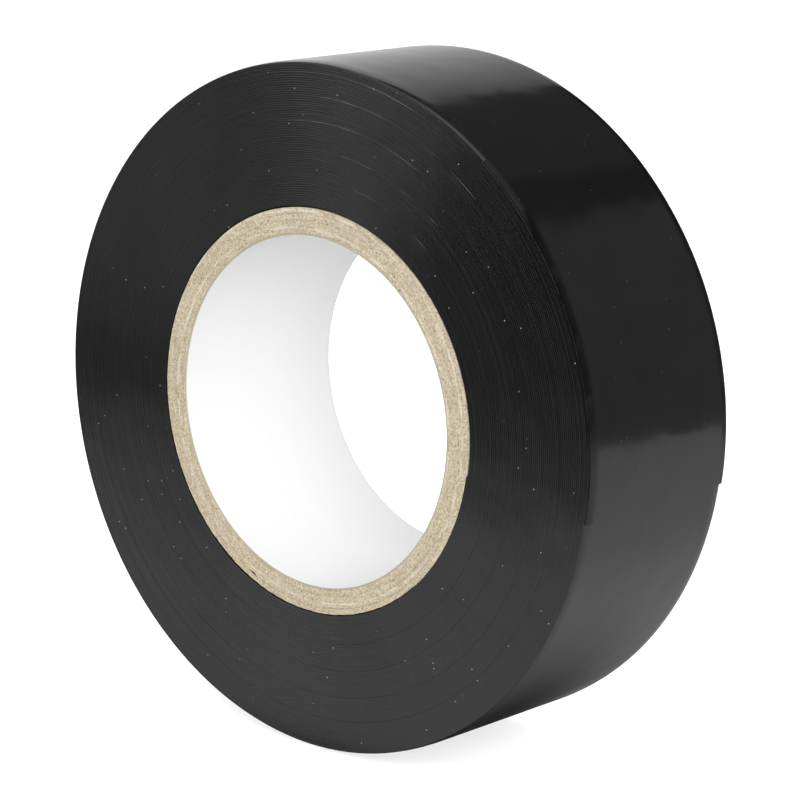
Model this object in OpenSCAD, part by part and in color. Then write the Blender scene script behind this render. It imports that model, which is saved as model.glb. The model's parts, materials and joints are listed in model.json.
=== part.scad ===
// Roll of PVC electrical tape on a laminated paperboard core.
// The roll stands on its rim: its axis lies along Y, +Z is up, and the face towards -Y is its front.
// The origin is on the bore's axis, halfway across the tape's width.

/* [Roll] */
// Diameter of the full roll, measured where the tape's free end lies
roll_od = 61.2; // [56:0.1:80]
// Width of the tape, and so of the roll and its core
tape_w = 19; // [12:0.5:50]
// Direction of the free end, in degrees up from +X as seen from the front
end_angle = -9; // [-180:1:180]

/* [Tape] */
// Thickness of the PVC film
film_t = 0.15; // [0.1:0.01:0.2]
// Thickness of the adhesive on the film's inner side
adhesive_t = 0.03; // [0.02:0.01:0.05]
// Air left between one wrap and the next
air_gap = 0.02; // [0.01:0.01:0.04]

/* [Wound bands] */
// Radial distance between two of the fine steps on the roll's sides
step_spacing = 2.35; // [1.5:0.05:3]
// Radial depth of the wraps outside the outermost step
outer_band = 2.8; // [1:0.1:5]

/* [Core] */
// Outer diameter of the paperboard core
core_od = 36; // [34:0.5:40]
// Diameter of the bore
bore_d = 31.2; // [24:0.2:34]
// Thickness of the white paper that lines the bore
liner_t = 0.15; // [0.1:0.05:0.3]

/* [Tail] */
// Angle of one stiff link of the tape's loose end, in degrees around the roll
link_angle = 10; // [5:1:20]
// Slit between two links, which bend about a line in its middle
link_gap = 0.04; // [0.02:0.01:0.1]

/* [Hidden] */
$fn = 180;
PLIES = 4;
BANDS = 5;
LINKS = 6;
FILM_COLOR = [0.09, 0.09, 0.1];
BAND_COLOR = [0.16, 0.16, 0.17];
ADHESIVE_COLOR = [0.03, 0.03, 0.03];
BOARD_COLOR = [0.74, 0.67, 0.53];
LINER_COLOR = [0.94, 0.94, 0.94];

roll_r = roll_od / 2;
core_r = core_od / 2;
bore_r = bore_d / 2;
wrap_pitch = film_t + adhesive_t + air_gap;
ply_t = (core_r - bore_r - liner_t) / PLIES;

// The last turn is two half circles, whose centres lie this far either side of the roll's axis.
centre_shift = wrap_pitch / 4;
// Radii of the tail's layers about the first half circle's centre
film_r = roll_r - centre_shift;
adhesive_r = film_r - film_t;
wound_r = film_r - wrap_pitch;
// Half of the slit between two links, as an angle
half_slit = asin(link_gap / 2 / film_r);

function ply_name(i) = str("core_ply_", i);
function band_name(i) = str("tape_band_", i);
function film_name(i) = str("tail_film_", i);
function adhesive_name(i) = str("tail_adhesive_", i);

// Inner radius of a wound band, counted from the core
function band_r(i) = i == 1 ? core_r : roll_r - outer_band - (BANDS - i) * step_spacing;

// Stands an outline, drawn as seen from the front, across the tape's full width
module across_width() {
    rotate([90, 0, 0]) linear_extrude(height = tape_w, center = true) children();
}

module tube(r_in, r_out) {
    across_width() difference() {
        circle(r = r_out);
        circle(r = r_in);
    }
}

// Half a disc on the +Y side of its own centre line, or on the other side of it
module half_disc(r, upper) {
    intersection() {
        circle(r = r);
        translate([-2 * r, upper ? 0 : -2 * r]) square([4 * r, 2 * r]);
    }
}

// The area inside the last turn: its edge comes in by one wrap pitch on its way round from the free end
module last_turn() {
    rotate(end_angle) {
        translate([centre_shift, 0]) half_disc(film_r, true);
        translate([-centre_shift, 0]) half_disc(film_r - wrap_pitch / 2, false);
    }
}

// A stretch of one layer of the last turn, between two angles counted back from the free end
module layer(r_in, r_out, from, to) {
    reach = 2 * r_out;
    rotate(end_angle) translate([centre_shift, 0]) intersection() {
        difference() {
            circle(r = r_out);
            circle(r = r_in);
        }
        polygon([[0, 0], reach * [cos(from), sin(from)], reach * [cos(to), sin(to)]]);
    }
}

// Link 1 is hinged to the roll, and the last link ends in the cut across the tape
module link(i, r_in, r_out) {
    from = (LINKS - i) * link_angle;
    across_width() layer(
        r_in,
        r_out,
        from + (i == LINKS ? 0 : half_slit),
        from + link_angle - half_slit
    );
}

// White paper glued round the bore
module bore_liner() {
    color(LINER_COLOR) tube(bore_r, bore_r + liner_t);
}

// One layer of grey-brown board, counted from the bore outwards
module core_ply(i) {
    r = bore_r + liner_t + (i - 1) * ply_t;
    color(BOARD_COLOR) tube(r, r + ply_t);
}

// The wraps between two steps; the outermost band also has the place where the tail lies
module tape_band(i) {
    color(BAND_COLOR) {
        if (i < BANDS) {
            tube(band_r(i), band_r(i + 1));
        } else {
            across_width() difference() {
                last_turn();
                layer(wound_r, film_r + wrap_pitch, 0, LINKS * link_angle);
                circle(r = band_r(BANDS));
            }
        }
    }
}

// The PVC film of one link of the tail
module tail_film(i) {
    color(FILM_COLOR) link(i, adhesive_r, film_r);
}

// The adhesive under the film of one link
module tail_adhesive(i) {
    color(ADHESIVE_COLOR) link(i, adhesive_r - adhesive_t, adhesive_r);
}

bore_liner();
for (i = [1:PLIES]) core_ply(i);
for (i = [1:BANDS]) tape_band(i);
for (i = [1:LINKS]) tail_film(i);
for (i = [1:LINKS]) tail_adhesive(i);
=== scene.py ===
"""The looks of a roll of PVC electrical tape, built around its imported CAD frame, in metres.

The roll stands on its rim with its axis along Y. The wound tape is one spiral strip: a place on it is
given in turns, counted back from the free end, and by its inset from the strip's outer surface.
"""

import json
import math

import bpy
import numpy as np
from mathutils import Matrix, Vector

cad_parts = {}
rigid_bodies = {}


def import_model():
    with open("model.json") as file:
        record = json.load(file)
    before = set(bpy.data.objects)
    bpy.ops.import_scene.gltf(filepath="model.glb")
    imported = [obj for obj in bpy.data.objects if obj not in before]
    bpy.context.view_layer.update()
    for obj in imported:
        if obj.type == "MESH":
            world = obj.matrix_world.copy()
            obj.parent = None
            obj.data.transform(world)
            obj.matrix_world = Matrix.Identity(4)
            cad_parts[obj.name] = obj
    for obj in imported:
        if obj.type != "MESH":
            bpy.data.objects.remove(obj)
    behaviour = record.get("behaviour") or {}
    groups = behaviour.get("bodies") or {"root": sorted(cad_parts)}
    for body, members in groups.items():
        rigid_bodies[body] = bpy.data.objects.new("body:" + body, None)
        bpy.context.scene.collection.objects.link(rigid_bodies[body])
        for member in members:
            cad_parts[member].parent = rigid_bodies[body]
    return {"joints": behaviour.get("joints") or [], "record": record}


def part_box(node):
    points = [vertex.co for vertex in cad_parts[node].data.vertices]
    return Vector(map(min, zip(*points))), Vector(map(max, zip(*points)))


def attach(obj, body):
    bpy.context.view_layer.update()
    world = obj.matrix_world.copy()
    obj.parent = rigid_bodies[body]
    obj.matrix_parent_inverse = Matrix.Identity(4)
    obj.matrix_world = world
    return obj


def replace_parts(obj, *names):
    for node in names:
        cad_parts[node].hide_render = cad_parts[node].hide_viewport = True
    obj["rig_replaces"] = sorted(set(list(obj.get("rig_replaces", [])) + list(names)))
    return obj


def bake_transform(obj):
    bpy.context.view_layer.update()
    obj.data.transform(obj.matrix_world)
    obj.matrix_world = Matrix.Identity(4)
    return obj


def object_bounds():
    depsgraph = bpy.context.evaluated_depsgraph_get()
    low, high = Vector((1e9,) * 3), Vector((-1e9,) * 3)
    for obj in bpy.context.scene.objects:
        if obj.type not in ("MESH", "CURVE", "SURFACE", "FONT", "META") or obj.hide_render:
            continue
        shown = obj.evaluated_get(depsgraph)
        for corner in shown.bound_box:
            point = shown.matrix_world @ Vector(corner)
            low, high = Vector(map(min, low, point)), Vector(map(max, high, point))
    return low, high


MM = 0.001
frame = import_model()
cad_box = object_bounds()

# Places and sizes that the CAD model gives
HALF_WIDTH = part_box("bore_liner")[1].y
CORE_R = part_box("core_ply_4")[1].x
LINER_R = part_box("bore_liner")[1].x
BORE_R = next(m for m in frame["record"]["mounts"] if m["name"] == "spindle_bore")["dims"]["r_mm"] * MM
PLIES = 4
HINGES = [Vector(j["pos_m"]) for j in frame["joints"]]
LINKS = len(HINGES)
FLOOR_Z = cad_box[0].z - 0.25 * MM


def heading(point):
    """Direction of a point about the roll's axis, in radians up from +X as seen from the front."""
    return math.atan2(point.z, point.x)


LINK_ANGLE = heading(HINGES[-2]) - heading(HINGES[-1])
FREE_END = heading(HINGES[-1]) - LINK_ANGLE
LINK_TURNS = LINK_ANGLE / math.tau
TAIL_TURNS = LINKS * LINK_TURNS

# The tape
TURNS = 63
BAND_ENDS = [62, 49, 37, 25, 14, TAIL_TURNS]
STEPS_PER_TURN = 288
LINK_STEPS = 20
ROLL_R = HINGES[-1].length
PITCH = (ROLL_R - CORE_R) / TURNS

# Width of the rounded border along both rims, and how far the outermost wrap droops there
CROWN_WIDTH = 1.1 * MM
CROWN_DROP = 0.12 * MM

# One wrap's edge: inset from the strip's outer surface and depth below the roll's face, in mm. The corners
# run on across the width as far as the rounded border does.
WOUND_EDGE = [(0, 0.016), (0.020, 0.006), (0.089, 0), (0.172, 0.006)]
OPEN_EDGE = [(0.030, 0.018), (0.070, 0.005), (0.120, 0), (0.172, 0.006)]
OPEN_CORNER = [(0.008, 0.045), (0, 0.090), (0, 0.3), (0, 0.6), (0, 1.1)]
WOUND_CORNER = [(0, 0.050), (0, 0.090), (0, 0.3), (0, 0.6), (0, 1.1)]
FILM_INNER_EDGE = [(0.143, 0.002), (0.150, 0.010), (0.150, 0.3), (0.150, 1.1)]
ADHESIVE_EDGE = [
    (0.150, 1.1), (0.150, 0.3), (0.150, 0.030), (0.158, 0.014),
    (0.172, 0.014), (0.180, 0.030), (0.180, 0.3), (0.180, 1.1),
]

# Ledges where the winding stepped sideways: turns, height in mm, and the directions in degrees
# from and to where the step stands highest and its corner gets a painted highlight
LEDGES = [
    (3.6, 0.02, [(67, 76)]),
    (14, 0.048, [(48, 60), (72, 87)]),
    (25, 0.048, [(60, 69), (76, 95)]),
    (37, 0.048, [(51, 62), (71, 80)]),
    (49, 0.036, [(50, 54), (69, 75)]),
]


class Shell:
    """A closed mesh, gathered line by line."""

    def __init__(self):
        self.blocks = []
        self.count = 0
        self.quads = []
        self.caps = []

    def line(self, points):
        """Adds a row of points and gives back their numbers."""
        first = self.count
        self.blocks.append(points)
        self.count += len(points)
        return np.arange(first, self.count)

    def strip(self, a, b):
        """Faces between two lines of the same length."""
        self.quads.append(np.stack([a[:-1], a[1:], b[1:], b[:-1]], 1))

    def loft(self, lines):
        for a, b in zip(lines, lines[1:]):
            self.strip(a, b)

    def cap(self, *numbers):
        self.caps.append([int(n) for part in numbers for n in part])

    def build(self, name):
        """The object, with every face turned outwards and its rest place stored on each point."""
        points = np.concatenate(self.blocks)
        faces = np.concatenate(self.quads).tolist() + self.caps
        mesh = bpy.data.meshes.new(name)
        mesh.from_pydata(points.tolist(), [], faces)
        mesh.update()
        if signed_volume(mesh) < 0:
            mesh.flip_normals()
        mesh.shade_smooth()
        rest = mesh.attributes.new("rest", "FLOAT_VECTOR", "POINT")
        rest.data.foreach_set("vector", points.astype(np.float32).ravel())
        piece = bpy.data.objects.new(name, mesh)
        bpy.context.scene.collection.objects.link(piece)
        return piece


def signed_volume(mesh):
    """Volume inside the mesh, negative if its faces look inwards."""
    count = len(mesh.polygons)
    normals = np.zeros(count * 3)
    centres = np.zeros(count * 3)
    areas = np.zeros(count)
    mesh.polygons.foreach_get("normal", normals)
    mesh.polygons.foreach_get("center", centres)
    mesh.polygons.foreach_get("area", areas)
    return float((np.einsum("ij,ij->i", normals.reshape(-1, 3), centres.reshape(-1, 3)) * areas).sum())


def point_normals(mesh, caps):
    """Normal at each point, weighted by face area, without the mesh's last faces, which are its flat ends."""
    count = len(mesh.polygons)
    normals = np.zeros(count * 3)
    areas = np.zeros(count)
    corners = np.zeros(len(mesh.loops), int)
    totals = np.zeros(count, int)
    mesh.polygons.foreach_get("normal", normals)
    mesh.polygons.foreach_get("area", areas)
    mesh.polygons.foreach_get("loop_total", totals)
    mesh.loops.foreach_get("vertex_index", corners)
    weighted = normals.reshape(-1, 3) * areas[:, None]
    weighted[count - caps:] = 0
    summed = np.zeros((len(mesh.vertices), 3))
    np.add.at(summed, corners, np.repeat(weighted, totals, axis=0))
    return summed / np.maximum(np.linalg.norm(summed, axis=1), 1e-20)[:, None]


def smooth(share):
    """0 to 1 along an even curve, as share goes from 0 to 1."""
    share = np.clip(share, 0, 1)
    return share * share * (3 - 2 * share)


def ripple(places, seed, knots_per_unit):
    """A smooth random curve from -1 to 1."""
    at = np.asarray(places, float) * knots_per_unit
    low = np.floor(at).astype(int)
    knots = np.random.default_rng(seed).uniform(-1, 1, int(low.max()) + 3)
    share = smooth(at - low)
    return knots[low] * (1 - share) + knots[low + 1] * share


def directions(turns):
    return FREE_END + math.tau * turns


def within(degrees, arcs):
    """1 inside the given arcs and 0 outside them, with soft ends."""
    share = 0 * degrees
    for low, high in arcs:
        share = share + smooth((degrees - low) / 3 + 0.5) * smooth((high - degrees) / 3 + 0.5)
    return share


def broken(degrees, seed):
    """0 to 1, changing every few degrees: where a ledge or the painted highlight on its corner comes and
    goes.
    """
    return np.clip(0.6 + 0.8 * ripple(degrees, seed, 0.35), 0, 1)


def ledge_height(turns, degrees, start, height, arcs):
    """How far one ledge stands out, in mm: it rises where it starts and fades over the wraps inside it."""
    inside = turns - start
    rise = smooth(inside / 0.12) * np.exp(-np.maximum(inside - 0.9, 0) / 1.8)
    share = 0.10 + 0.08 * ripple(degrees / 360, int(start * 10), 9)
    share = share + within(degrees, arcs) * (0.35 + 0.65 * broken(degrees, 40))
    return height * share * rise


def painted_ledge_highlight(turns):
    """How much painted highlight, a lighter grey, a ledge's corner gets where it stands highest."""
    degrees = np.degrees(directions(turns)) % 360
    share = 0 * turns
    for start, _, arcs in LEDGES:
        on_ledge = (turns >= start) & (turns < start + 1)
        share = share + within(degrees, arcs) * broken(degrees, 40) * on_ledge
    return share


def stand_out(turns):
    """How far the strip is shifted towards the front along its length, in metres."""
    degrees = np.degrees(directions(turns)) % 360
    shift = 0.004 * ripple(turns, 5, 2.2) + 0.002 * ripple(turns, 6, 9)
    for start, height, arcs in LEDGES:
        shift = shift + ledge_height(turns, degrees, start, height, arcs)
    tail = 1 - smooth((turns - 0.09) / 0.05)
    return (shift * (1 - tail) - 0.07 * tail) * MM


def out_of_round(angle, share, side):
    """How far the winding stands off a true spiral, mostly at its outside: it is a little larger, and an
    oval whose long way points to +X on the front face and 60 degrees below it on the back."""
    off = angle + math.radians(30 * (1 + side))
    return (0.13 + 0.11 * np.cos(off) + 0.09 * np.cos(2 * off)) * MM * share ** 2


def crown(depth, share):
    """How far the wraps droop at a depth in mm below the roll's faces, most of all at the outside."""
    return CROWN_DROP * np.clip(1 - depth * MM / CROWN_WIDTH, 0, 1) ** 2 * share ** 2


def strip_point(turns, inset, depth, side):
    """Points on the strip at an inset and depth in mm; side is -1 on the front face and 1 on the back."""
    angle = directions(turns)
    share = 1 - turns / TURNS
    radius = ROLL_R - PITCH * turns - inset * MM + out_of_round(angle, share, side) - crown(depth, share)
    y = side * (HALF_WIDTH - depth * MM) - stand_out(turns)
    return np.stack([radius * np.cos(angle), y, radius * np.sin(angle)], 1)


def mixed(a, b, share):
    """Inset and depth between two edge points, for each share from 0 to 1."""
    return a[0] + (b[0] - a[0]) * share, a[1] + (b[1] - a[1]) * share


def wound_band(name, start, end):
    """The wraps from one ledge to the next as one closed solid, with each wrap's edge on both faces."""
    steps = round((end - start) * STEPS_PER_TURN)
    n = STEPS_PER_TURN
    turns = start + np.arange(steps + n + 1) / n
    outermost = start == TAIL_TURNS
    is_open = outermost * (1 - smooth((turns - start - 0.97) / 0.03))
    shell = Shell()
    faces = {}
    for side in (-1, 1):
        inset, depth = mixed(WOUND_EDGE[0], OPEN_EDGE[0], is_open)
        lines = [shell.line(strip_point(turns, inset, depth, side))]
        for wound, open_ in zip(WOUND_EDGE[1:], OPEN_EDGE[1:]):
            inset, depth = mixed(wound, open_, is_open[: steps + 1])
            lines.append(shell.line(strip_point(turns[: steps + 1], inset, depth, side)))
        corner = []
        for wound, open_ in zip(WOUND_CORNER, OPEN_CORNER):
            inset, depth = mixed(wound, open_, is_open[: n + 1])
            corner.append(shell.line(strip_point(turns[: n + 1], inset, depth, side)))
        shell.loft([lines[0][: steps + 1]] + lines[1:] + [lines[0][n:]])
        faces[side] = (lines, corner)
    (front, front_corner), (back, back_corner) = faces[-1], faces[1]
    wall = [back[0][: n + 1], *back_corner, *front_corner[::-1], front[0][: n + 1]]
    shell.loft(wall)
    shell.strip(front[0][steps:], back[0][steps:])
    for at, lower in ((0, n), (steps, steps + n)):
        outer = [line[at] for line in wall[1:-1]] if at == 0 else []
        inner = [line[n] for line in wall[-2:0:-1]] if at == 0 else []
        shell.cap(
            [line[at] for line in front], [front[0][lower]], inner,
            [back[0][lower]], [line[at] for line in back[::-1]], outer,
        )
    piece = shell.build(name)
    normals = point_normals(piece.data, len(shell.caps))
    for line in (front_corner[-1], back_corner[-1]):
        angle = directions(turns[: n + 1])
        normals[line] = np.stack([np.cos(angle), 0 * angle, np.sin(angle)], 1)
    piece.data.normals_split_custom_set_from_vertices(normals.tolist())
    mark(piece, "film", [(line, 1) for line in (*front_corner, *back_corner)])
    mark(piece, "painted_ledge_highlight", [(line, painted_ledge_highlight(turns[: len(line)])) for line in (*front[:2], front_corner[0])])
    return piece


def mark(piece, name, values):
    """Stores a number on the points of some lines, and 0 on all others."""
    numbers = np.zeros(len(piece.data.vertices), np.float32)
    for line, value in values:
        numbers[line] = value
    piece.data.attributes.new(name, "FLOAT", "POINT").data.foreach_set("value", numbers)


def tail_strip(name, link, section):
    """One link's length of a layer of the tape. Section runs inwards from the outer surface, in mm."""
    start = (LINKS - link + 1) * LINK_TURNS
    turns = np.linspace(start, start - LINK_TURNS, LINK_STEPS + 1)
    shell = Shell()
    front = [shell.line(strip_point(turns, inset, depth, -1)) for inset, depth in section]
    back = [shell.line(strip_point(turns, inset, depth, 1)) for inset, depth in section]
    around = front + back[::-1]
    shell.loft([*around, around[0]])
    for at in (0, -1):
        shell.cap([line[at] for line in around])
    piece = shell.build(name)
    normals = point_normals(piece.data, len(shell.caps))
    angle = directions(turns)
    outwards = np.stack([np.cos(angle), 0 * angle, np.sin(angle)], 1)
    for line in (front[0], back[0]):
        normals[line] = outwards
    for line in (front[-1], back[-1]):
        normals[line] = -outwards
    piece.data.normals_split_custom_set_from_vertices(normals.tolist())
    mark(piece, "film", [(line, 1) for line in (front[0], back[0], front[-1], back[-1])])
    return piece


def ring(name, section, angles):
    """A closed ring. Section lists (radii, places across the width) along the angles, round one cut."""
    shell = Shell()
    lines = []
    for radius, y in section:
        line = shell.line(np.stack([radius * np.cos(angles), y + 0 * angles, radius * np.sin(angles)], 1))
        lines.append(np.append(line, line[0]))
    shell.loft([*lines, lines[0]])
    return shell.build(name)


def ragged(angles, seed, size):
    """A cut edge's unevenness round the core, in metres, that closes on itself."""
    rng = np.random.default_rng(seed)
    total = np.zeros(len(angles))
    for waves in (3, 7, 16, 31, 53, 97, 151):
        total += rng.uniform(0.4, 1) * np.sin(waves * angles + rng.uniform(0, math.tau))
    return total / 7 * size


def void_width(angles):
    """Half the width of the split between the two outer plies, in metres: a small void that runs out thin."""
    degrees = np.degrees(angles) % 360
    void = 0.14 * np.sqrt(np.clip(1 - ((degrees - 245) / 1.6) ** 2, 0, 1))
    crack = 0.03 * within(degrees, [(246, 258)]) + 0.012 * within(degrees, [(258, 296)])
    return (void + crack) * MM


def core_ply(index):
    """One layer of board, cut a little rough on both faces."""
    angles = np.arange(720) * math.tau / 720
    thickness = (CORE_R - LINER_R) / PLIES
    inner = LINER_R + (index - 1) * thickness
    outer = inner + thickness
    gap = 0.003 * MM
    low = inner + gap + (void_width(angles) if index == PLIES else 0) + 0 * angles
    high = outer - gap - (void_width(angles) if index == PLIES - 1 else 0)
    if index == PLIES:
        loose = within(np.degrees(angles) % 360, [(228, 312)])
        high = high - loose * (0.05 * MM + ragged(angles, 77, 0.06 * MM))
    section = []
    for side in (-1, 1):
        rows = []
        for k, share in enumerate((0, 0.06, 0.28, 0.5, 0.72, 0.94, 1)):
            edge = 0.012 if k in (0, 6) else 0
            depth = (0.02 + edge) * MM + ragged(angles, 100 * index + 10 * k + side, 0.05 * MM)
            rows.append((low + (high - low) * share, side * (HALF_WIDTH - depth)))
        section += rows if side < 0 else rows[::-1]
    return ring(f"board_ply_{index}", section, angles)


def bore_liner():
    """The thin white paper round the bore, with soft edges."""
    angles = np.arange(360) * math.tau / 360
    section = []
    for side in (-1, 1):
        rows = []
        for share, depth in ((0, 0.06), (0.2, 0.02), (0.7, 0.02), (1, 0.05)):
            radius = BORE_R + (LINER_R - BORE_R) * share
            cut = depth * MM + 0.4 * ragged(angles, 40 + side, 0.05 * MM)
            rows.append((radius + 0 * angles, side * (HALF_WIDTH - cut)))
        section += rows if side < 0 else rows[::-1]
    return ring("white_liner", section, angles)


class Nodes:
    """Short calls for the nodes of one material. A number, colour or another node's output sets an input."""

    def __init__(self, name):
        self.material = bpy.data.materials.new(name)
        self.material.use_nodes = True
        self.tree = self.material.node_tree
        self.tree.nodes.clear()

    def add(self, kind, output, settings, **inputs):
        node = self.tree.nodes.new(kind)
        for key, value in settings.items():
            setattr(node, key, value)
        for key, value in inputs.items():
            socket = node.inputs[int(key[1:])] if key[0] == "i" and key[1:].isdigit() else node.inputs[key]
            self.put(socket, value)
        return node.outputs[output]

    def put(self, socket, value):
        if isinstance(value, bpy.types.NodeSocket):
            self.tree.links.new(value, socket)
        else:
            socket.default_value = value

    def maths(self, operation, a, b=0.0):
        return self.add("ShaderNodeMath", 0, {"operation": operation}, i0=a, i1=b)

    def vector_maths(self, operation, a, b=(0, 0, 0), output=0):
        return self.add("ShaderNodeVectorMath", output, {"operation": operation}, i0=a, i1=b)

    def attribute(self, name, output):
        return self.add("ShaderNodeAttribute", output, {"attribute_name": name})

    def noise(self, vector, scale, detail, rough):
        inputs = {"Vector": vector, "Scale": scale, "Detail": detail, "Roughness": rough}
        return self.add("ShaderNodeTexNoise", "Fac", {}, **inputs)

    def cells(self, vector, scale, output):
        return self.add("ShaderNodeTexVoronoi", output, {}, Vector=vector, Scale=scale)

    def mix(self, share, a, b):
        return self.add("ShaderNodeMix", 2, {"data_type": "RGBA"}, i0=share, i6=a, i7=b)

    def blend_values(self, share, a, b):
        return self.add("ShaderNodeMix", 0, {"data_type": "FLOAT"}, i0=share, i2=a, i3=b)

    def ramp(self, value, low, high):
        """0 below low and 1 above high, straight between."""
        return self.add("ShaderNodeMapRange", 0, {}, i0=value, i1=low, i2=high, i3=0.0, i4=1.0)

    def smooth_ramp(self, value, low, high):
        """As ramp, along an even curve."""
        settings = {"interpolation_type": "SMOOTHSTEP"}
        return self.add("ShaderNodeMapRange", 0, settings, i0=value, i1=low, i2=high, i3=0.0, i4=1.0)

    def bump(self, height, distance, normal=None):
        inputs = {"Height": height, "Distance": distance, "Strength": 1.0}
        if normal is not None:
            inputs["Normal"] = normal
        return self.add("ShaderNodeBump", 0, {}, **inputs)

    def finish(self, colour, roughness, normal, **fixed):
        shader = self.add("ShaderNodeBsdfPrincipled", 0, {})
        node = shader.node
        self.put(node.inputs["Base Color"], colour)
        self.put(node.inputs["Roughness"], roughness)
        self.put(node.inputs["Normal"], normal)
        for key, value in fixed.items():
            node.inputs[key].default_value = value
        return self.output(shader)

    def finish_glow(self, strength):
        return self.output(self.add("ShaderNodeEmission", 0, {}, Color=(1, 1, 1, 1), Strength=strength))

    def output(self, shader):
        out = self.tree.nodes.new("ShaderNodeOutputMaterial")
        self.tree.links.new(shader, out.inputs["Surface"])
        return self.material


def rest_spaces(nodes):
    """The rest place in mm, and two spaces stretched along the tape: one fine across the width, one fine in
    radius. Both close on themselves round the roll."""
    place = nodes.vector_maths("SCALE", nodes.attribute("rest", "Vector"))
    place.node.inputs["Scale"].default_value = 1000
    x, y, z = (nodes.add("ShaderNodeSeparateXYZ", k, {}, Vector=place) for k in range(3))
    flat = nodes.add("ShaderNodeCombineXYZ", 0, {}, X=x, Y=0.0, Z=z)
    radius = nodes.vector_maths("LENGTH", flat, output="Value")
    around = nodes.vector_maths("NORMALIZE", flat)
    ux, uz = (nodes.add("ShaderNodeSeparateXYZ", k, {}, Vector=around) for k in (0, 2))
    across = nodes.add("ShaderNodeCombineXYZ", 0, {}, X=nodes.maths("MULTIPLY", ux, 4.0),
                       Y=y, Z=nodes.maths("MULTIPLY", uz, 4.0))
    wraps = nodes.add("ShaderNodeCombineXYZ", 0, {}, X=nodes.maths("MULTIPLY", ux, 2.5),
                      Y=radius, Z=nodes.maths("MULTIPLY", uz, 2.5))
    return place, across, wraps, radius


def dust(nodes, place, scale, share, size):
    """1 on a few small specks, 0 elsewhere."""
    near = nodes.cells(place, scale, "Distance")
    pick = nodes.cells(place, scale, "Color")
    chosen = nodes.maths("LESS_THAN", nodes.add("ShaderNodeSeparateColor", 0, {}, Color=pick), share)
    close = nodes.maths("SUBTRACT", 1.0, nodes.ramp(near, size * 0.5, size))
    return nodes.maths("MULTIPLY", chosen, close)


def vinyl(name):
    """Glossy black film, satin where the knife cut it."""
    nodes = Nodes(name)
    place, across, wraps, _ = rest_spaces(nodes)
    film = nodes.attribute("film", "Fac")
    each_wrap = nodes.noise(wraps, 4.3, 2.0, 0.6)
    grain = nodes.noise(place, 9.0, 3.0, 0.7)
    streaks = nodes.noise(across, 1.6, 3.0, 0.6)
    clouds = nodes.noise(place, 0.35, 3.0, 0.55)
    specks = dust(nodes, place, 1.2, 0.26, 0.09)
    fine_specks = dust(nodes, place, 1.9, 0.05, 0.055)

    cut_tone = nodes.maths("MULTIPLY", nodes.ramp(each_wrap, 0.3, 0.72), nodes.ramp(grain, 0.15, 0.85))
    cut_colour = nodes.mix(cut_tone, (0.0035, 0.0035, 0.0037, 1), (0.0078, 0.0078, 0.008, 1))
    film_colour = nodes.mix(clouds, (0.0078, 0.0078, 0.0082, 1), (0.0116, 0.0116, 0.0120, 1))
    colour = nodes.mix(film, cut_colour, film_colour)
    all_specks = nodes.maths("MAXIMUM", specks, nodes.maths("MULTIPLY", fine_specks, 0.5))
    on_cut = nodes.maths("SUBTRACT", 1.0, nodes.maths("MULTIPLY", film, 0.85))
    colour = nodes.mix(nodes.maths("MULTIPLY", all_specks, on_cut), colour, (0.40, 0.40, 0.40, 1))
    # Painted highlight: ledge corners are lightened to grey where the ledges stand highest
    ledge_highlight_share = nodes.maths("MULTIPLY", nodes.attribute("painted_ledge_highlight", "Fac"), nodes.ramp(grain, 0.3, 0.6))
    colour = nodes.mix(ledge_highlight_share, colour, (0.14, 0.14, 0.14, 1))

    cut_rough = nodes.blend_values(grain, 0.26, 0.38)
    film_rough = nodes.blend_values(nodes.ramp(streaks, 0.3, 0.75), 0.12, 0.165)
    roughness = nodes.blend_values(film, cut_rough, film_rough)

    swells = nodes.noise(place, 0.13, 1.0, 0.4)
    shorter_swells = nodes.noise(place, 0.34, 1.0, 0.4)
    waves = nodes.maths("ADD", swells, nodes.maths("MULTIPLY", shorter_swells, 0.26))
    soft = nodes.bump(waves, 0.11 * MM)
    peel = nodes.maths("ADD", nodes.maths("MULTIPLY", streaks, 0.5), nodes.maths("MULTIPLY", grain, 0.05))
    film_normal = nodes.bump(nodes.maths("MULTIPLY", peel, film), 0.0035 * MM, normal=soft)
    coarse = nodes.maths("MULTIPLY", grain, 0.6)
    cut_height = nodes.maths("ADD", coarse, nodes.maths("MULTIPLY", each_wrap, 0.5))
    cut_height = nodes.maths("MULTIPLY", cut_height, nodes.maths("SUBTRACT", 1.0, film))
    normal = nodes.bump(cut_height, 0.012 * MM, normal=film_normal)
    surface = nodes.finish(colour, roughness, normal, IOR=1.5)
    shader = surface.node_tree.nodes["Principled BSDF"]
    across_wraps = nodes.add("ShaderNodeTangent", 0, {"direction_type": "RADIAL", "axis": "Y"})
    nodes.put(shader.inputs["Tangent"], across_wraps)
    nodes.put(shader.inputs["Anisotropic"], nodes.blend_values(film, 0.78, 0.0))
    shader.inputs["Anisotropic Rotation"].default_value = 0.25
    return surface


def adhesive(name):
    """Black rubber adhesive: slightly uneven, with faint lines along the tape."""
    nodes = Nodes(name)
    place, across, _, _ = rest_spaces(nodes)
    lines = nodes.noise(across, 2.4, 4.0, 0.65)
    blots = nodes.noise(place, 0.8, 4.0, 0.6)
    colour = nodes.mix(blots, (0.006, 0.006, 0.0065, 1), (0.016, 0.0155, 0.015, 1))
    roughness = nodes.blend_values(nodes.ramp(blots, 0.3, 0.7), 0.26, 0.48)
    height = nodes.maths("ADD", nodes.maths("MULTIPLY", lines, 0.6), nodes.maths("MULTIPLY", blots, 0.8))
    normal = nodes.bump(height, 0.03 * MM)
    return nodes.finish(colour, roughness, normal, IOR=1.48)


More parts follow.
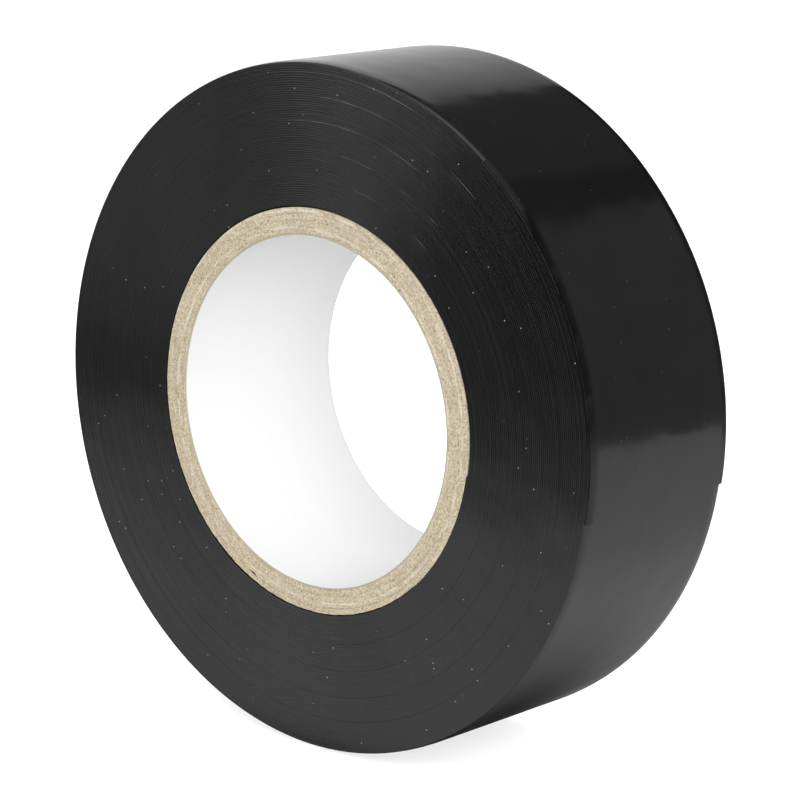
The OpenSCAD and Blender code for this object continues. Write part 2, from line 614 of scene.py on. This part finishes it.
def board(name):
    """Grey-brown recycled board, cut across: pale fibres mottled with brown, one pale line that winds
    outwards as it goes round, and painted shade, near black, down in the gaps between the plies."""
    nodes = Nodes(name)
    place, _, wraps, radius = rest_spaces(nodes)
    blots = nodes.noise(place, 0.7, 3.0, 0.6)
    mottle = nodes.noise(place, 4.2, 4.0, 0.7)
    fibres = nodes.noise(place, 7.5, 2.0, 0.6)
    layers = nodes.noise(wraps, 3.0, 3.0, 0.6)
    tone = nodes.maths("ADD", nodes.maths("MULTIPLY", mottle, 0.5), nodes.maths("MULTIPLY", fibres, 0.3))
    tone = nodes.maths("ADD", tone, nodes.maths("MULTIPLY", layers, 0.2))
    colour = nodes.mix(nodes.ramp(tone, 0.40, 0.58), (0.44, 0.355, 0.215, 1), (0.80, 0.71, 0.545, 1))
    colour = nodes.mix(nodes.ramp(blots, 0.50, 0.85), colour, (0.56, 0.50, 0.39, 1))
    dark = nodes.ramp(nodes.noise(place, 6.0, 2.0, 0.6), 0.60, 0.68)
    colour = nodes.mix(nodes.maths("MULTIPLY", dark, 0.75), colour, (0.16, 0.12, 0.07, 1))
    x, y, z = (nodes.add("ShaderNodeSeparateXYZ", k, {}, Vector=place) for k in range(3))
    angle = nodes.maths("DIVIDE", nodes.maths("ARCTAN2", z, x), math.tau)
    spacing = 1.5
    layer = nodes.maths("DIVIDE", nodes.maths("SUBTRACT", radius, 16.05), spacing)
    sheet = nodes.maths("SUBTRACT", layer, angle)
    arm = nodes.maths("FRACT", nodes.maths("ADD", sheet, 2.625))
    off = nodes.maths("MULTIPLY", nodes.maths("ABSOLUTE", nodes.maths("SUBTRACT", arm, 0.5)), spacing)
    pale = nodes.maths("SUBTRACT", 1.0, nodes.smooth_ramp(off, 0.03, 0.17))
    patchy = nodes.ramp(nodes.maths("ADD", layers, nodes.maths("MULTIPLY", mottle, 0.5)), 0.62, 0.92)
    colour = nodes.mix(nodes.maths("MULTIPLY", pale, patchy), colour, (0.82, 0.76, 0.64, 1))
    # Painted shade: board lying deeper than the faces, in the ply gaps and the void, is coloured near black
    painted_gap_shade = nodes.maths("SUBTRACT", 1.0, nodes.ramp(nodes.maths("ABSOLUTE", y), 9.22, 9.36))
    colour = nodes.mix(painted_gap_shade, colour, (0.03, 0.022, 0.015, 1))
    roughness = nodes.blend_values(fibres, 0.78, 0.95)
    height = nodes.maths("ADD", nodes.maths("MULTIPLY", fibres, 0.5), nodes.maths("MULTIPLY", mottle, 0.7))
    normal = nodes.bump(height, 0.07 * MM)
    return nodes.finish(colour, roughness, normal, IOR=1.12)


def paper(name):
    """Smooth white paper with faint fibres."""
    nodes = Nodes(name)
    place, across, _, _ = rest_spaces(nodes)
    fibres = nodes.noise(place, 2.6, 4.0, 0.65)
    clouds = nodes.noise(across, 0.25, 2.0, 0.5)
    share = nodes.maths("ADD", nodes.maths("MULTIPLY", fibres, 0.5), nodes.maths("MULTIPLY", clouds, 0.5))
    colour = nodes.mix(share, (0.86, 0.86, 0.86, 1), (0.91, 0.91, 0.91, 1))
    y = nodes.add("ShaderNodeSeparateXYZ", 1, {}, Vector=place)
    cut = nodes.ramp(nodes.maths("ABSOLUTE", y), 9.36, 9.42)
    colour = nodes.mix(cut, colour, (0.52, 0.47, 0.37, 1))
    roughness = nodes.blend_values(fibres, 0.5, 0.66)
    normal = nodes.bump(fibres, 0.012 * MM)
    return nodes.finish(colour, roughness, normal, IOR=1.12)


def floor_white(name):
    nodes = Nodes(name)
    place = nodes.vector_maths("SCALE", nodes.add("ShaderNodeTexCoord", "Object", {}))
    place.node.inputs["Scale"].default_value = 1000
    grain = nodes.noise(place, 0.5, 3.0, 0.5)
    colour = nodes.mix(grain, (0.955, 0.955, 0.955, 1), (0.975, 0.975, 0.975, 1))
    normal = nodes.bump(grain, 0.004 * MM)
    return nodes.finish(colour, 0.9, normal)


def glow(name, edge, middle, width):
    """White light for a reflecting panel, which may fade from its middle to one upright edge."""
    nodes = Nodes(name)
    place = nodes.add("ShaderNodeTexCoord", "Object", {})
    across = nodes.add("ShaderNodeSeparateXYZ", 0, {}, Vector=place)
    strength = nodes.add("ShaderNodeMapRange", 0, {}, i0=across, i1=-width / 2, i2=0.0, i3=edge, i4=middle)
    return nodes.finish_glow(strength)


def add_piece(piece, material, node):
    piece.data.materials.append(material)
    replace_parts(piece, node)


def build_roll(vinyl_roll, board_look, paper_look):
    add_piece(bore_liner(), paper_look, "bore_liner")
    for index in range(1, PLIES + 1):
        add_piece(core_ply(index), board_look, f"core_ply_{index}")
    for index in range(1, len(BAND_ENDS)):
        band = wound_band(f"wound_wraps_{index}", BAND_ENDS[index], BAND_ENDS[index - 1])
        add_piece(band, vinyl_roll, f"tape_band_{index}")
    for piece in list(bpy.context.scene.objects):
        if "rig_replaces" in piece:
            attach(piece, "roll")


def build_tail(vinyl_tail, adhesive_look):
    """Each link's film and adhesive, laid along the winding from the link before it to the link itself."""
    film_section = OPEN_CORNER[::-1] + OPEN_EDGE[:3] + FILM_INNER_EDGE
    looks = (
        ("film_strip", "tail_film", "tape_film", film_section, vinyl_tail),
        ("adhesive_strip", "tail_adhesive", "tape_adhesive", ADHESIVE_EDGE, adhesive_look),
    )
    for link in range(1, LINKS + 1):
        for name, node, slot, section, look in looks:
            piece = tail_strip(f"{name}_{link}", link, section)
            add_piece(piece, look, f"{node}_{link}")
            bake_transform(piece)


def flat_mesh(name, corners, material):
    mesh = bpy.data.meshes.new(name)
    mesh.from_pydata(corners, [], [tuple(range(len(corners)))])
    mesh.materials.append(material)
    shape = bpy.data.objects.new(name, mesh)
    bpy.context.scene.collection.objects.link(shape)
    return shape


def build_floor(material):
    """A wide white floor that adds no bounced light and isn't seen in the gloss, and a glowing sheet near
    the roll that the gloss sees in its place."""
    far = 3.0
    wide = flat_mesh("floor", floor_corners(-far, far, -far, far), material)
    wide.visible_glossy = False
    wide.visible_diffuse = False
    near = floor_corners(-0.135, 0.30, -0.084, 0.135)
    seen_in_gloss_only(flat_mesh("floor_reflected", near, floor_glow("floor_reflected")))
    return wide


def floor_corners(left, right, front, back):
    return [(x, y, FLOOR_Z) for x, y in ((left, front), (right, front), (right, back), (left, back))]


def floor_glow(name):
    """The floor's light as the gloss sees it: dark under the roll, less so behind it, and brightest in
    front of it, most of all to the left."""
    nodes = Nodes(name)
    place = nodes.add("ShaderNodeTexCoord", "Object", {})
    x, y = (nodes.add("ShaderNodeSeparateXYZ", k, {}, Vector=place) for k in range(2))
    beside = nodes.smooth_ramp(nodes.maths("ABSOLUTE", x), 0.012, 0.038)
    behind = nodes.smooth_ramp(y, 0.004, 0.044)
    near = nodes.maths("SUBTRACT", 1.0, beside)
    dark = nodes.maths("MULTIPLY", near, nodes.maths("SUBTRACT", 1.0, behind))
    strength = nodes.blend_values(dark, 0.77, 0.03)
    before = nodes.smooth_ramp(nodes.maths("MULTIPLY", y, -1.0), 0.0085, 0.014)
    left = nodes.smooth_ramp(nodes.maths("MULTIPLY", x, -1.0), 0.028, 0.045)
    strength = nodes.blend_values(before, strength, nodes.blend_values(left, 0.98, 1.18))
    return nodes.finish_glow(strength)


def seen_in_gloss_only(shape):
    shape.visible_camera = False
    shape.visible_diffuse = False
    shape.visible_shadow = False


def facing(place, target):
    """Turns a light or camera at place towards target."""
    return (Vector(target) - Vector(place)).to_track_quat("-Z", "Y").to_matrix().to_4x4()


def reflecting_panel(name, place, width, height, edge, middle):
    """A glowing panel that faces the roll and that only reflections see."""
    half_w, half_h = width / 2, height / 2
    corners = [(-half_w, -half_h, 0), (half_w, -half_h, 0), (half_w, half_h, 0), (-half_w, half_h, 0)]
    panel = flat_mesh(name, corners, glow(name, edge, middle, width))
    panel.matrix_world = Matrix.Translation(place) @ facing(place, (0, 0, 0))
    seen_in_gloss_only(panel)


def add_light(name, kind, place, settings, lit=None):
    """A soft light that faces the roll and casts no shadow, for all surfaces or only for the given one. It
    isn't itself seen in reflections."""
    light = bpy.data.lights.new(name, kind)
    for key, value in settings.items():
        setattr(light, key, value)
    lamp = bpy.data.objects.new(name, light)
    bpy.context.scene.collection.objects.link(lamp)
    lamp.matrix_world = Matrix.Translation(place) @ facing(place, (0, 0, 0))
    lamp.visible_camera = False
    lamp.visible_glossy = False
    light.use_shadow = False
    if lit:
        only = bpy.data.collections.new(f"{name}_lights")
        only.objects.link(lit)
        lamp.light_linking.receiver_collection = only


def polar(azimuth, elevation, distance):
    """A place seen from the roll's centre: azimuth in degrees to the right of +Y."""
    a, e = math.radians(azimuth), math.radians(elevation)
    return Vector((math.sin(a) * math.cos(e), math.cos(a) * math.cos(e), math.sin(e))) * distance


def build_light(floor):
    world = bpy.data.worlds.new("studio")
    bpy.context.scene.world = world
    world.use_nodes = True
    sky = world.node_tree.nodes["Background"]
    sky.inputs["Color"].default_value = (1, 1, 1, 1)
    sky.inputs["Strength"].default_value = 0.64
    world.cycles_visibility.glossy = False
    add_light("sun_above", "SUN", (0.03, -0.02, 1), {"energy": 1.85, "angle": math.radians(55)}, floor)
    add_light("fill_front", "AREA", (0.45, -0.42, 0.29), {"energy": 2.7, "size": 0.4})
    add_light("fill_behind", "AREA", (0.40, 0.50, 0.20), {"energy": 0.5, "size": 0.4})
    reflecting_panel("panel_behind", polar(-51, 19, 0.9), 0.80, 0.74, 0.36, 1.02)
    reflecting_panel("room_behind", polar(38, 12, 1.0), 0.80, 0.86, 0.15, 0.17)
    reflecting_panel("ceiling_behind", polar(-8, 41, 1.0), 0.50, 0.30, 0.07, 0.07)
    reflecting_panel("panel_front", polar(217, 22, 0.9), 0.38, 0.40, 4.2, 4.2)
    reflecting_panel("panel_overhead", polar(-10, 66, 0.9), 1.10, 0.44, 0.6, 0.9)
    reflecting_panel("panel_left", polar(-112, 6, 0.9), 0.50, 0.50, 1.15, 1.15)


def build_camera():
    """The camera looks from the front right and a little above. It stands so far off that the roll's rim
    takes up the frame, and the roll's front face lies a little left of and below the middle of its view."""
    azimuth, elevation = math.radians(41.73), math.radians(12.32)
    face_left, face_down, face_ahead = 7.783 * MM, 1.133 * MM, 250.52 * MM
    back = Vector((
        math.sin(azimuth) * math.cos(elevation),
        -math.cos(azimuth) * math.cos(elevation),
        math.sin(elevation),
    ))
    turn = back.to_track_quat("Z", "Y")
    right = turn @ Vector((1, 0, 0))
    up = turn @ Vector((0, 1, 0))
    face = Vector((0, -HALF_WIDTH, 0))
    data = bpy.data.cameras.new("camera")
    data.lens = 129.45
    data.sensor_width = 36
    data.clip_start = 0.01
    camera = bpy.data.objects.new("camera", data)
    bpy.context.scene.collection.objects.link(camera)
    camera.rotation_mode = "QUATERNION"
    camera.rotation_quaternion = turn
    camera.location = face + back * face_ahead + right * face_left + up * face_down
    bpy.context.scene.camera = camera


bpy.context.scene.view_settings.view_transform = "Standard"
build_roll(vinyl("black_vinyl_wound"), board("cut_board"), paper("white_paper"))
build_tail(vinyl("black_vinyl_film"), adhesive("black_adhesive"))
build_light(build_floor(floor_white("white_floor")))
build_camera()
